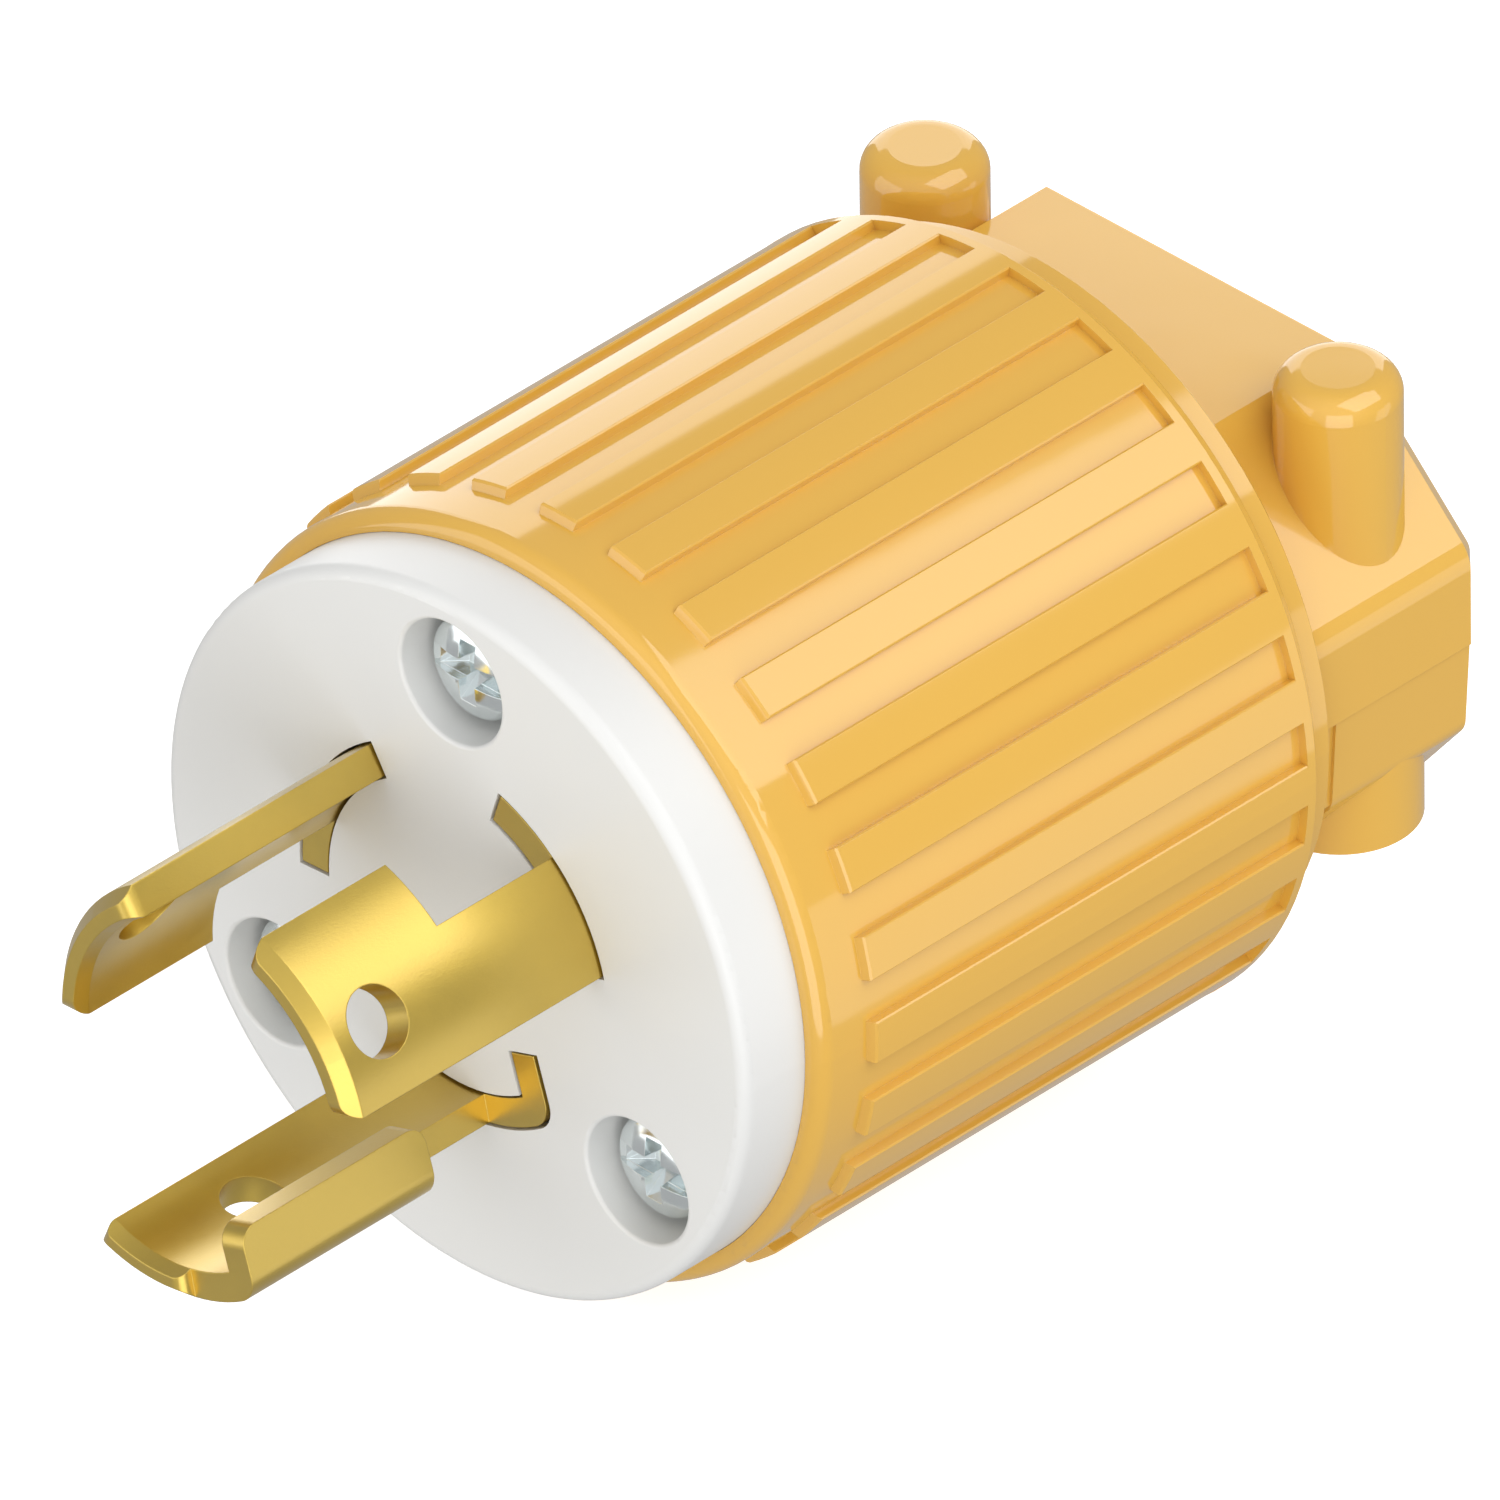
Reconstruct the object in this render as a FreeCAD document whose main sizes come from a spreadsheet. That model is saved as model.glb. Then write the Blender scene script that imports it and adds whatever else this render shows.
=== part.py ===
# Locking power plug: a ribbed sleeve with half of the cord clamp moulded on its back,
# a white face, three curved blades that twist to lock, and the loose clamp half.
# The plug lies along Y: the blades point to -Y and the cord leaves along +Y.
# The origin is the middle of the flat face, and the clamp posts stand up along +Z.
import FreeCAD, Part
import Sketcher
import math
import os
import re

# All lengths are in millimetres and all angles in degrees, counted from +X towards +Z.
SIZES = (
    # Sleeve: places along the plug count back from the flat face
    ("sleeve_radius", 17.8),
    ("rib_height", 0.45),
    ("rib_count", 28),
    ("valley_width", 2.02),
    ("rib_chamfer", 0.1),
    ("rib_draft", 0.15),
    ("sleeve_front", 3.6),
    ("sleeve_length", 31.4),
    ("lip_fillet", 0.8),
    ("front_band", 2.76),
    ("rear_band", 0.47),
    ("collar_chamfer", 0.95),
    ("neck_length", 1.13),
    ("neck_inset", 0.7),
    ("neck_edge", 0.12),
    ("rear_wall", 2.2),
    ("barrel_wall", 2.2),
    # Face: its flange sits in the mouth of the sleeve
    ("lip_width", 0.9),
    ("insert_fillet", 0.58),
    ("insert_depth", 9.0),
    ("lip_clearance", 0.02),
    ("fit_clearance", 0.1),
    # Screws that hold the face and the terminal base to the sleeve
    ("face_screw_inset", 4.95),
    ("face_screw_1_angle", 90.0),
    ("face_screw_2_angle", 215.0),
    ("face_screw_3_angle", 325.0),
    ("well_radius", 2.93),
    ("well_depth", 2.9),
    ("well_fillet", 0.18),
    ("face_shank_radius", 1.5),
    ("face_head_radius", 2.4),
    ("face_head_height", 1.95),
    ("face_screw_bite", 6.9),
    ("passage_clearance", 0.35),
    # Terminal base: the moulding behind the face that carries the blades
    ("base_thickness", 5.0),
    ("hub_radius", 3.4),
    ("hub_length", 10.0),
    ("column_radius", 2.6),
    ("column_length", 7.0),
    ("fin_thickness", 2.0),
    ("boss_wall", 1.55),
    ("pilot_depth", 9.0),
    # Blades: curved strips on one circle, cut narrow just in front of the face
    ("blade_radius", 8.9),
    ("blade_thickness", 1.48),
    ("ground_thickness", 1.35),
    ("line_length", 14.8),
    ("line_neck_length", 6.8),
    ("shoulder_depth", 0.05),
    ("slot_clearance", 0.12),
    ("slot_clearance_angle", 0.9),
    ("tip_corner", 0.8),
    ("lead_in_length", 0.65),
    ("lead_in_drop", 0.55),
    ("line_hole_radius", 1.58),
    ("line_hole_setback", 3.0),
    ("line_hole_shift", 0.6),
    ("line_1_start_angle", 13.7),
    ("line_1_neck_angle", 35.8),
    ("line_1_width_angle", 57.9),
    ("line_2_start_angle", 122.4),
    ("line_2_neck_angle", 37.5),
    ("line_2_width_angle", 60.0),
    ("ground_start_angle", 247.5),
    ("ground_neck_angle", 34.9),
    ("ground_length", 18.05),
    ("ground_neck_length", 6.6),
    ("ground_hole_radius", 1.44),
    ("ground_hole_setback", 6.25),
    ("ground_hole_shift", 0.42),
    ("nose_length", 0.65),
    ("nose_corner", 0.6),
    # Hook of the ground blade: a flange that turns in from the end of the arc
    ("hook_turn_angle", 112.6),
    ("hook_inset", 5.79),
    ("hook_edge_inset", 3.77),
    ("hook_thickness", 1.34),
    ("hook_fillet", 1.25),
    ("hook_corner", 0.9),
    ("hook_gap", 0.2),
    # Wiring terminals: each blade ends in a flat tab with a screw and a pressure plate
    ("tab_gap", 0.2),
    ("tab_width", 7.0),
    ("tab_length", 12.0),
    ("terminal_place", 7.0),
    ("terminal_shank_radius", 1.7),
    ("terminal_head_radius", 3.1),
    ("terminal_head_height", 2.0),
    ("terminal_reach", 2.6),
    ("wire_gap", 1.9),
    ("plate_thickness", 1.2),
    ("plate_width", 8.4),
    ("plate_length", 6.4),
    # Cord clamp: the upper half belongs to the sleeve, the lower half is loose
    ("clamp_length", 10.7),
    ("rear_chamfer", 1.0),
    ("clamp_gap", 1.6),
    ("tongue_inset", 0.15),
    ("clamp_inset", 1.85),
    ("clamp_drop", 6.1),
    ("upper_slope_width", 7.25),
    ("lower_slope_width", 5.95),
    ("upper_corner", 4.45),
    ("lower_corner", 4.4),
    ("lower_step", 0.08),
    ("lower_draft", 0.27),
    ("upper_corner_fillet", 1.7),
    ("lower_corner_fillet", 1.2),
    ("post_inset", 3.92),
    ("post_setback", 4.9),
    ("post_radius", 2.77),
    ("post_rise", 2.45),
    ("post_fillet", 1.2),
    ("boss_radius", 3.56),
    ("boss_drop", 3.5),
    ("cord_radius", 5.25),
    ("mouth_bell", 0.8),
    ("grip_count", 2),
    ("grip_pitch", 2.6),
    ("grip_width", 1.2),
    ("grip_depth", 0.5),
    ("grip_setback", 7.8),
    # Clamp screws and the brass threads moulded into the posts
    ("clamp_shank_radius", 1.75),
    ("clamp_head_radius", 2.85),
    ("clamp_head_height", 2.0),
    ("clamp_head_sink", 0.6),
    ("clamp_screw_past", 2.4),
    ("thread_radius", 2.2),
    ("thread_length", 6.0),
    # Driving recess that all the screws share
    ("recess_width", 1.05),
    ("recess_depth", 0.75),
    ("recess_reach", 1.65),
)
# Sizes that follow from others, so that pieces that meet stay together
LINKED = (
    ("rib_radius", "sleeve_radius + rib_height"),
    ("rib_front", "sleeve_front + front_band"),
    ("sleeve_rear", "sleeve_front + sleeve_length"),
    ("collar_rear", "sleeve_rear - neck_length"),
    ("collar_edge", "collar_rear - collar_chamfer"),
    ("rib_rear", "collar_edge - rear_band"),
    ("neck_radius", "sleeve_radius - neck_inset"),
    ("chamber_rear", "sleeve_rear - rear_wall"),
    ("chamber_radius", "sleeve_radius - barrel_wall"),
    ("insert_radius", "sleeve_radius - lip_width"),
    ("face_screw_circle", "sleeve_radius - face_screw_inset"),
    ("base_rear", "insert_depth + base_thickness"),
    ("column_rear", "base_rear + column_length"),
    ("face_screw_length", "column_rear + face_screw_bite - well_depth"),
    ("blade_inner", "blade_radius - blade_thickness"),
    ("ground_radius", "blade_inner + ground_thickness"),
    ("hook_offset", "blade_radius - hook_inset"),
    ("hook_back", "hook_offset - hook_thickness"),
    ("hook_edge", "blade_radius - hook_edge_inset"),
    ("hook_front", "ground_length - nose_length"),
    ("tab_front", "base_rear + tab_gap"),
    ("terminal_middle", "base_rear + terminal_place"),
    ("plate_inner", "blade_radius + wire_gap"),
    ("terminal_seat", "plate_inner + plate_thickness"),
    ("terminal_length", "terminal_seat - blade_inner + terminal_reach"),
    ("clamp_rear", "sleeve_rear + clamp_length"),
    ("clamp_front", "sleeve_rear + clamp_gap"),
    ("upper_half_width", "sleeve_radius - clamp_inset"),
    ("lower_half_width", "upper_half_width - lower_step"),
    ("lower_toe_half_width", "lower_half_width - lower_draft"),
    ("clamp_height", "sleeve_radius - clamp_drop"),
    ("upper_flat_half", "upper_half_width - upper_slope_width"),
    ("lower_flat_half", "lower_toe_half_width - lower_slope_width"),
    ("post_spread", "upper_half_width - post_inset"),
    ("post_place", "clamp_rear - post_setback"),
    ("post_top", "clamp_height + post_rise"),
    ("boss_end", "clamp_height - boss_drop"),
    ("grip_start", "clamp_rear - grip_setback"),
    ("clamp_seat", "boss_end - clamp_head_sink - clamp_head_height"),
    ("clamp_screw_length", "clamp_seat + thread_length + clamp_screw_past"),
)
NAMES = {name for name, value in SIZES + LINKED}
AXIS = FreeCAD.Vector(0, 0, 1)
NEAR = 0.02

doc = FreeCAD.newDocument("locking_plug")
sheet = doc.addObject("Spreadsheet::Sheet", "Sizes")
for row, (name, value) in enumerate(SIZES + LINKED, start=1):
    sheet.set(f"A{row}", name)
    sheet.set(f"B{row}", f"={value}")
    sheet.setAlias(f"B{row}", name)
doc.recompute()


def size(name):
    """The value of one cell of the sheet."""
    return float(getattr(sheet, name))


def tied(formula):
    """A formula of size names, written with the sheet's cells."""
    return re.sub(r"[a-z]\w*", lambda word: "Sizes." + word[0] if word[0] in NAMES else word[0], formula)


def new_body(label):
    body = doc.addObject("PartDesign::Body", label)
    body.Label = label
    return body


def sketch_on(body, name, role, rise=None, turn=None):
    """A sketch on one of the body's own planes, lifted along its normal and turned about it."""
    sketch = body.newObject("Sketcher::SketchObject", name)
    plane = next(item for item in body.Origin.OriginFeatures if item.Role == role)
    sketch.AttachmentSupport = [(plane, "")]
    sketch.MapMode = "FlatFace"
    if turn:
        sketch.AttachmentOffset = FreeCAD.Placement(FreeCAD.Vector(), FreeCAD.Rotation(AXIS, 1))
        sketch.setExpression("AttachmentOffset.Rotation.Angle", tied(turn))
    if rise:
        sketch.setExpression("AttachmentOffset.Base.z", tied(rise))
    return sketch


def hold(sketch, kind, item, point, formula, value):
    """One coordinate of a point, tied to a formula."""
    number = sketch.addConstraint(Sketcher.Constraint(kind, -1, 1, item, point, value))
    sketch.setExpression(f"Constraints[{number}]", tied(formula))


def hold_radius(sketch, item, formula, value):
    number = sketch.addConstraint(Sketcher.Constraint("Radius", item, value))
    sketch.setExpression(f"Constraints[{number}]", tied(formula))


def outline(sketch, corners):
    """A closed outline of straight lines through corners given as formulas."""
    count = len(corners)
    spots = []
    for index in range(count):
        angle = math.tau * (index + 0.25) / count
        spots.append(FreeCAD.Vector(10 * math.cos(angle), 10 * math.sin(angle), 0))
    lines = [Part.LineSegment(spots[index], spots[(index + 1) % count]) for index in range(count)]
    first = sketch.addGeometry(lines, False)[0]
    for index in range(count):
        follows = first + (index + 1) % count
        sketch.addConstraint(Sketcher.Constraint("Coincident", first + index, 2, follows, 1))
    for index, (across, along) in enumerate(corners):
        hold(sketch, "DistanceX", first + index, 1, across, spots[index].x)
        hold(sketch, "DistanceY", first + index, 1, along, spots[index].y)


def circle(sketch, across, along, radius):
    start = FreeCAD.Vector(3 + sketch.GeometryCount, 4, 0)
    item = sketch.addGeometry(Part.Circle(start, AXIS, 1), False)
    hold(sketch, "DistanceX", item, 3, across, start.x)
    hold(sketch, "DistanceY", item, 3, along, start.y)
    hold_radius(sketch, item, radius, 1)


def turned(body, name, corners, back=None, forward=None, cut=False):
    """A profile of (radius, place along the plug) corners turned about the plug's axis."""
    sketch = sketch_on(body, name + "_profile", "XY_Plane")
    outline(sketch, corners)
    feature = body.newObject("PartDesign::Groove" if cut else "PartDesign::Revolution", name)
    feature.Profile = sketch
    feature.ReferenceAxis = (sketch, ["V_Axis"])
    if back is None:
        feature.Angle = 360
    else:
        feature.Type = "TwoAngles"
        feature.setExpression("Angle", tied(back))
        feature.setExpression("Angle2", tied(forward))
    return feature


def padded(body, name, sketch, length, reverse=False, both_ways=False):
    pad = body.newObject("PartDesign::Pad", name)
    pad.Profile = sketch
    pad.setExpression("Length", tied(length))
    pad.Reversed = reverse
    if both_ways:
        pad.SideType = "Symmetric"
    return pad


def pocketed(body, name, sketch, length, reverse=False):
    pocket = body.newObject("PartDesign::Pocket", name)
    pocket.Profile = sketch
    pocket.setExpression("Length", tied(length))
    pocket.Reversed = reverse
    return pocket


def rounded(body, name, radius, chosen, kind="Fillet"):
    """Round or chamfer the edges of the body so far that pass the test."""
    doc.recompute()
    base = body.Tip
    edges = [f"Edge{number}" for number, edge in enumerate(base.Shape.Edges, start=1) if chosen(edge)]
    if not edges:
        raise RuntimeError(f"{body.Label}: no edge for {name}")
    feature = body.newObject("PartDesign::" + kind, name)
    feature.Base = (base, edges)
    feature.setExpression("Radius" if kind == "Fillet" else "Size", tied(radius))
    return feature


def ring_at(radius, place):
    """A test for edges that run round the plug's axis at one radius and place."""
    def chosen(edge):
        points = edge.discretize(4)
        return all(abs(math.hypot(p.x, p.z) - radius) < NEAR and abs(p.y - place) < NEAR for p in points)
    return chosen


def line_through(axis, spots):
    """A test for straight edges along one axis, X, Y or Z, through any of the spots."""
    def chosen(edge):
        first, last = edge.Vertexes[0].Point, edge.Vertexes[-1].Point
        run = last - first
        if edge.Curve.TypeId != "Part::GeomLine" or abs(abs(run.normalize().dot(axis)) - 1) > 1e-6:
            return False
        return any(((spot - first).cross(axis)).Length < NEAR for spot in spots)
    return chosen


def stand(item, base=("0", "0", "0"), turns=("rotation(vector(0; 0; 1); 0)",)):
    """Tie the placement of a piece to a base point and to turns, the last of which comes first."""
    point = "vector(" + "; ".join(base) + ")"
    item.setExpression("Placement", tied(f"placement({point}; " + " * ".join(turns) + ")"))


def about_plug(angle):
    """A turn about the plug's axis from +X towards +Z."""
    return f"rotation(vector(0; -1; 0); {angle})"


def carved(label, base, tools):
    """A piece that is cut out by several tools at once."""
    joined = doc.addObject("Part::MultiFuse", label + "_tools")
    joined.Shapes = tools
    piece = doc.addObject("Part::Cut", label)
    piece.Label = label
    piece.Base = base
    piece.Tool = joined
    return piece


FACE_ANGLES = ("face_screw_1_angle", "face_screw_2_angle", "face_screw_3_angle")
FACE_SPOTS = [(f"face_screw_circle * cos({angle})", f"face_screw_circle * sin({angle})") for angle in FACE_ANGLES]
POST_SPOTS = [("-post_spread", "post_place"), ("post_spread", "post_place")]


def face_circles(body, name, place, radius):
    """Circles round the three face screws, on a plane across the plug."""
    sketch = sketch_on(body, name, "XZ_Plane", rise=f"-({place})")
    for across, along in FACE_SPOTS:
        circle(sketch, across, along, radius)
    return sketch


def post_circles(body, name, height, radius):
    """Circles round the two clamp screws, on a level plane."""
    sketch = sketch_on(body, name, "XY_Plane", rise=height)
    for across, along in POST_SPOTS:
        circle(sketch, across, along, radius)
    return sketch


def cord_passage(body, start):
    """The round way for the cord, with grip grooves and a belled mouth."""
    corners = [("0", start), ("cord_radius", start)]
    for index in range(int(size("grip_count"))):
        near = f"grip_start + {index} * grip_pitch"
        corners += [
            ("cord_radius", near),
            ("cord_radius + grip_depth", f"{near} + grip_width / 4"),
            ("cord_radius + grip_depth", f"{near} + grip_width * 3 / 4"),
            ("cord_radius", f"{near} + grip_width"),
        ]
    corners += [
        ("cord_radius", "clamp_rear - mouth_bell"),
        ("cord_radius + mouth_bell * 2", "clamp_rear + mouth_bell"),
        ("0", "clamp_rear + mouth_bell"),
    ]
    return turned(body, "cord_passage", corners, cut=True)


# Sleeve with its ribs, chamber, bosses and the upper half of the clamp
def valley_section(body):
    """The section of one valley between two ribs: a round floor and chamfered upper edges."""
    sketch = sketch_on(body, "valley_section", "XZ_Plane", rise="-(rib_front - front_band / 3)", turn="180 / rib_count")
    half = size("valley_width") / 2
    floor = size("sleeve_radius")
    lean = math.asin(half / floor)
    arc = Part.Circle(FreeCAD.Vector(), AXIS, floor)
    sketch.addGeometry(Part.ArcOfCircle(arc, math.pi / 2 - lean, math.pi / 2 + lean), False)
    sketch.addConstraint(Sketcher.Constraint("Coincident", 0, 3, -1, 1))
    hold_radius(sketch, 0, "sleeve_radius", floor)
    hold(sketch, "DistanceX", 0, 1, "valley_width / 2", half)
    hold(sketch, "DistanceX", 0, 2, "-valley_width / 2", -half)
    corners = []
    for side in ("", "-"):
        wall = [
            (f"{side}(valley_width / 2)", "rib_radius - rib_chamfer"),
            (f"{side}(valley_width / 2 + rib_chamfer)", "rib_radius"),
            (f"{side}(valley_width / 2 + rib_chamfer)", "rib_radius + rib_height"),
        ]
        corners += wall if side == "" else wall[::-1]
    spots = [FreeCAD.Vector(half, floor, 0)]
    for across, along in ((1, 0.3), (1.2, 0.5), (1.2, 1.5), (-1.2, 1.5), (-1.2, 0.5), (-1, 0.3)):
        spots.append(FreeCAD.Vector(half * across, floor + along, 0))
    spots.append(FreeCAD.Vector(-half, floor, 0))
    last = len(spots) - 1
    for index in range(last):
        sketch.addGeometry(Part.LineSegment(spots[index], spots[index + 1]), False)
    sketch.addConstraint(Sketcher.Constraint("Coincident", 0, 1, 1, 1))
    sketch.addConstraint(Sketcher.Constraint("Coincident", 0, 2, last, 2))
    for index in range(1, last):
        sketch.addConstraint(Sketcher.Constraint("Coincident", index, 2, index + 1, 1))
    for index, (across, along) in enumerate(corners, start=1):
        hold(sketch, "DistanceX", index, 2, across, spots[index].x)
        hold(sketch, "DistanceY", index, 2, along, spots[index].y)
    return sketch


def clamp_block(body, name, corners, start):
    """A straight-sided block with sloped shoulders that runs back to the rear of the clamp."""
    sketch = sketch_on(body, name + "_section", "XZ_Plane", rise=f"-({start})")
    outline(sketch, corners)
    return padded(body, name, sketch, f"clamp_rear - ({start})", reverse=True)


def make_shell():
    body = new_body("shell")
    turned(body, "barrel", [
        ("insert_radius + lip_clearance", "sleeve_front"),
        ("sleeve_radius", "sleeve_front"),
        ("sleeve_radius", "rib_front"),
        ("rib_radius - rib_chamfer", "rib_front + rib_draft"),
        ("rib_radius", "rib_front + rib_draft + rib_chamfer"),
        ("rib_radius", "collar_edge"),
        ("rib_radius - collar_chamfer", "collar_rear"),
        ("neck_radius", "collar_rear"),
        ("neck_radius", "sleeve_rear - neck_edge"),
        ("neck_radius - neck_edge", "sleeve_rear"),
        ("0", "sleeve_rear"),
        ("0", "chamber_rear"),
        ("chamber_radius", "chamber_rear"),
        ("chamber_radius", "insert_depth"),
        ("insert_radius + lip_clearance", "insert_depth"),
    ])
    rounded(body, "front_lip", "lip_fillet", ring_at(size("sleeve_radius"), size("sleeve_front")))
    section = valley_section(body)
    valley = pocketed(body, "valley", section, "rib_rear - rib_front + front_band / 3")
    valleys = body.newObject("PartDesign::PolarPattern", "valleys")
    valleys.Originals = [valley]
    valleys.Axis = (section, ["N_Axis"])
    valleys.Angle = 360
    valleys.setExpression("Occurrences", tied("rib_count"))
    body.Tip = valleys
    doc.recompute()
    clamp_block(body, "upper_clamp", [
        ("upper_half_width", "0"),
        ("upper_half_width", "upper_corner"),
        ("upper_flat_half", "clamp_height"),
        ("-upper_flat_half", "clamp_height"),
        ("-upper_half_width", "upper_corner"),
        ("-upper_half_width", "0"),
    ], "sleeve_rear - rear_wall / 2")
    spots = [FreeCAD.Vector(side * size("upper_half_width"), 0, size("upper_corner")) for side in (-1, 1)]
    rounded(body, "upper_corners", "upper_corner_fillet", line_through(FreeCAD.Vector(0, 1, 0), spots))
    rounded(body, "rear_bevel", "rear_chamfer", rear_outline, "Chamfer")
    padded(body, "posts", post_circles(body, "post_section", "0", "post_radius"), "post_top")
    rounded(body, "post_domes", "post_fillet", post_tops)
    cord_passage(body, "chamber_rear - rear_wall")
    threads = post_circles(body, "thread_section", "0", "thread_radius")
    pocketed(body, "thread_seats", threads, "thread_length", reverse=True)
    ends = post_circles(body, "screw_end_section", "0", "clamp_shank_radius + passage_clearance")
    pocketed(body, "screw_ends", ends, "thread_length + clamp_screw_past + clamp_screw_past / 2", reverse=True)
    bosses = face_circles(body, "boss_section", f"chamber_rear + rear_wall / 2", "face_shank_radius + boss_wall")
    padded(body, "bosses", bosses, f"chamber_rear + rear_wall / 2 - column_rear")
    pilots = face_circles(body, "pilot_section", "column_rear", "face_shank_radius")
    pocketed(body, "pilot_holes", pilots, "pilot_depth")
    return body


def rear_outline(edge):
    """The edges round a clamp half's rear, apart from the one where the halves part."""
    points = edge.discretize(4)
    parting = all(abs(point.z) < NEAR for point in points)
    return not parting and all(abs(point.y - size("clamp_rear")) < NEAR for point in points)


def post_tops(edge):
    """The two round edges at the top of the posts."""
    points = edge.discretize(4)
    return all(abs(point.z - size("post_top")) < NEAR and point.y > size("sleeve_rear") for point in points)


# Loose half of the cord clamp, with the sunk seats for the two screw heads
def make_cord_clamp():
    body = new_body("cord_clamp")
    clamp_block(body, "lower_clamp", [
        ("lower_half_width", "0"),
        ("-lower_half_width", "0"),
        ("-lower_toe_half_width", "-lower_corner"),
        ("-lower_flat_half", "-clamp_height"),
        ("lower_flat_half", "-clamp_height"),
        ("lower_toe_half_width", "-lower_corner"),
    ], "clamp_front")
    spots = [FreeCAD.Vector(side * size("lower_toe_half_width"), 0, -size("lower_corner")) for side in (-1, 1)]
    rounded(body, "lower_corners", "lower_corner_fillet", line_through(FreeCAD.Vector(0, 1, 0), spots))
    rounded(body, "rear_bevel", "rear_chamfer", rear_outline, "Chamfer")
    tongue = sketch_on(body, "tongue_section", "XZ_Plane", rise="-(sleeve_rear + fit_clearance)")
    outline(tongue, [
        ("lower_half_width - tongue_inset", "0"),
        ("-lower_half_width + tongue_inset", "0"),
        ("-lower_toe_half_width + tongue_inset", "-lower_corner"),
        ("-lower_flat_half + tongue_inset", "-clamp_height + tongue_inset"),
        ("lower_flat_half - tongue_inset", "-clamp_height + tongue_inset"),
        ("lower_toe_half_width - tongue_inset", "-lower_corner"),
    ])
    padded(body, "tongue", tongue, "clamp_gap", reverse=True)
    bosses = post_circles(body, "boss_section", "-boss_end", "boss_radius")
    padded(body, "bosses", bosses, "boss_end - lower_corner / 5")
    cord_passage(body, "sleeve_rear")
    seats = post_circles(body, "seat_section", "-clamp_height", "clamp_head_radius + passage_clearance / 2")
    pocketed(body, "head_seats", seats, "clamp_height - clamp_seat", reverse=True)
    shanks = post_circles(body, "shank_section", "-boss_end", "clamp_shank_radius + passage_clearance / 2")
    pocketed(body, "shank_holes", shanks, "boss_end * 2", reverse=True)
    return body


# White face and the base behind it
def slot_cutter(label, start, neck, back, forward, near, far):
    """A curved slot for a blade, a little larger than the blade all round."""
    body = new_body(label)
    inner = f"blade_inner - slot_clearance"
    outer = "blade_radius + slot_clearance"
    turned(body, label + "_arc", [
        (inner, near), (outer, near), (outer, far), (inner, far),
    ], f"{back} + slot_clearance_angle", f"{forward} + slot_clearance_angle")
    stand(body, turns=[about_plug(f"{start} + {neck} / 2")])
    return body


def make_face_insert():
    body = new_body("face_blank")
    turned(body, "disc", [
        ("0", "0"), ("insert_radius", "0"), ("insert_radius", "insert_depth"), ("0", "insert_depth"),
    ])
    rounded(body, "front_edge", "insert_fillet", ring_at(size("insert_radius"), 0))
    pocketed(body, "wells", face_circles(body, "well_section", "0", "well_radius"), "well_depth")
    rounded(body, "well_rims", "well_fillet", well_rims)
    passages = face_circles(body, "passage_section", "0", "face_shank_radius + passage_clearance")
    pocketed(body, "passages", passages, "insert_depth * 2")
    cutters = []
    for blade in ("line_1", "line_2"):
        neck = f"{blade}_neck_angle"
        forward = f"{blade}_width_angle - {neck} / 2"
        cutters.append(slot_cutter("slot_" + blade, f"{blade}_start_angle", neck, f"{neck} / 2", forward,
                                   "-1", "insert_depth + 1"))
    hooked = new_body("slot_ground")
    section = hook_section(hooked, "slot_section", "insert_depth + 1", "slot_clearance", "slot_clearance_angle",
                           "hook_gap")
    padded(hooked, "slot_hook", section, "insert_depth + 2")
    rounded(hooked, "slot_bend", "hook_fillet", hook_bend(size("slot_clearance"), size("hook_gap")))
    stand(hooked, turns=[about_plug("ground_start_angle + ground_neck_angle / 2")])
    cutters.append(hooked)
    return carved("face_insert", body, cutters)


def well_rims(edge):
    """The round rims of the three screw wells."""
    round_edge = edge.Curve.TypeId == "Part::GeomCircle" and abs(edge.Curve.Radius - size("well_radius")) < NEAR
    return round_edge and abs(edge.Curve.Center.y) < NEAR


def make_terminal_base():
    body = new_body("base_blank")
    outer = "chamber_radius - fit_clearance"
    turned(body, "disc", [("0", "insert_depth"), (outer, "insert_depth"), (outer, "base_rear"), ("0", "base_rear")])
    hub = sketch_on(body, "hub_section", "XZ_Plane", rise=f"-(base_rear - 1)")
    circle(hub, "0", "0", "hub_radius")
    padded(body, "hub", hub, "hub_length + 1", reverse=True)
    columns = face_circles(body, "column_section", f"base_rear - 1", "column_radius")
    for number, angle in enumerate(FACE_ANGLES, start=1):
        fin = sketch_on(body, f"fin_{number}_section", "XZ_Plane", rise=f"-(base_rear - 1)", turn=angle)
        outline(fin, [
            ("0", "-fin_thickness / 2"),
            ("face_screw_circle", "-fin_thickness / 2"),
            ("face_screw_circle", "fin_thickness / 2"),
            ("0", "fin_thickness / 2"),
        ])
        padded(body, f"fin_{number}", fin, "column_length + 1", reverse=True)
    padded(body, "columns", columns, "column_length + 1", reverse=True)
    passages = face_circles(body, "passage_section", "insert_depth", "face_shank_radius + passage_clearance")
    pocketed(body, "passages", passages, f"column_rear - insert_depth + 1")
    cutters = []
    for blade in ("line_1", "line_2", "ground"):
        neck = f"{blade}_neck_angle"
        cutters.append(slot_cutter("tail_slot_" + blade, f"{blade}_start_angle", neck, f"{neck} / 2", f"{neck} / 2",
                                   "insert_depth - 1", f"base_rear + 1"))
    return carved("terminal_base", body, cutters)


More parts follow.
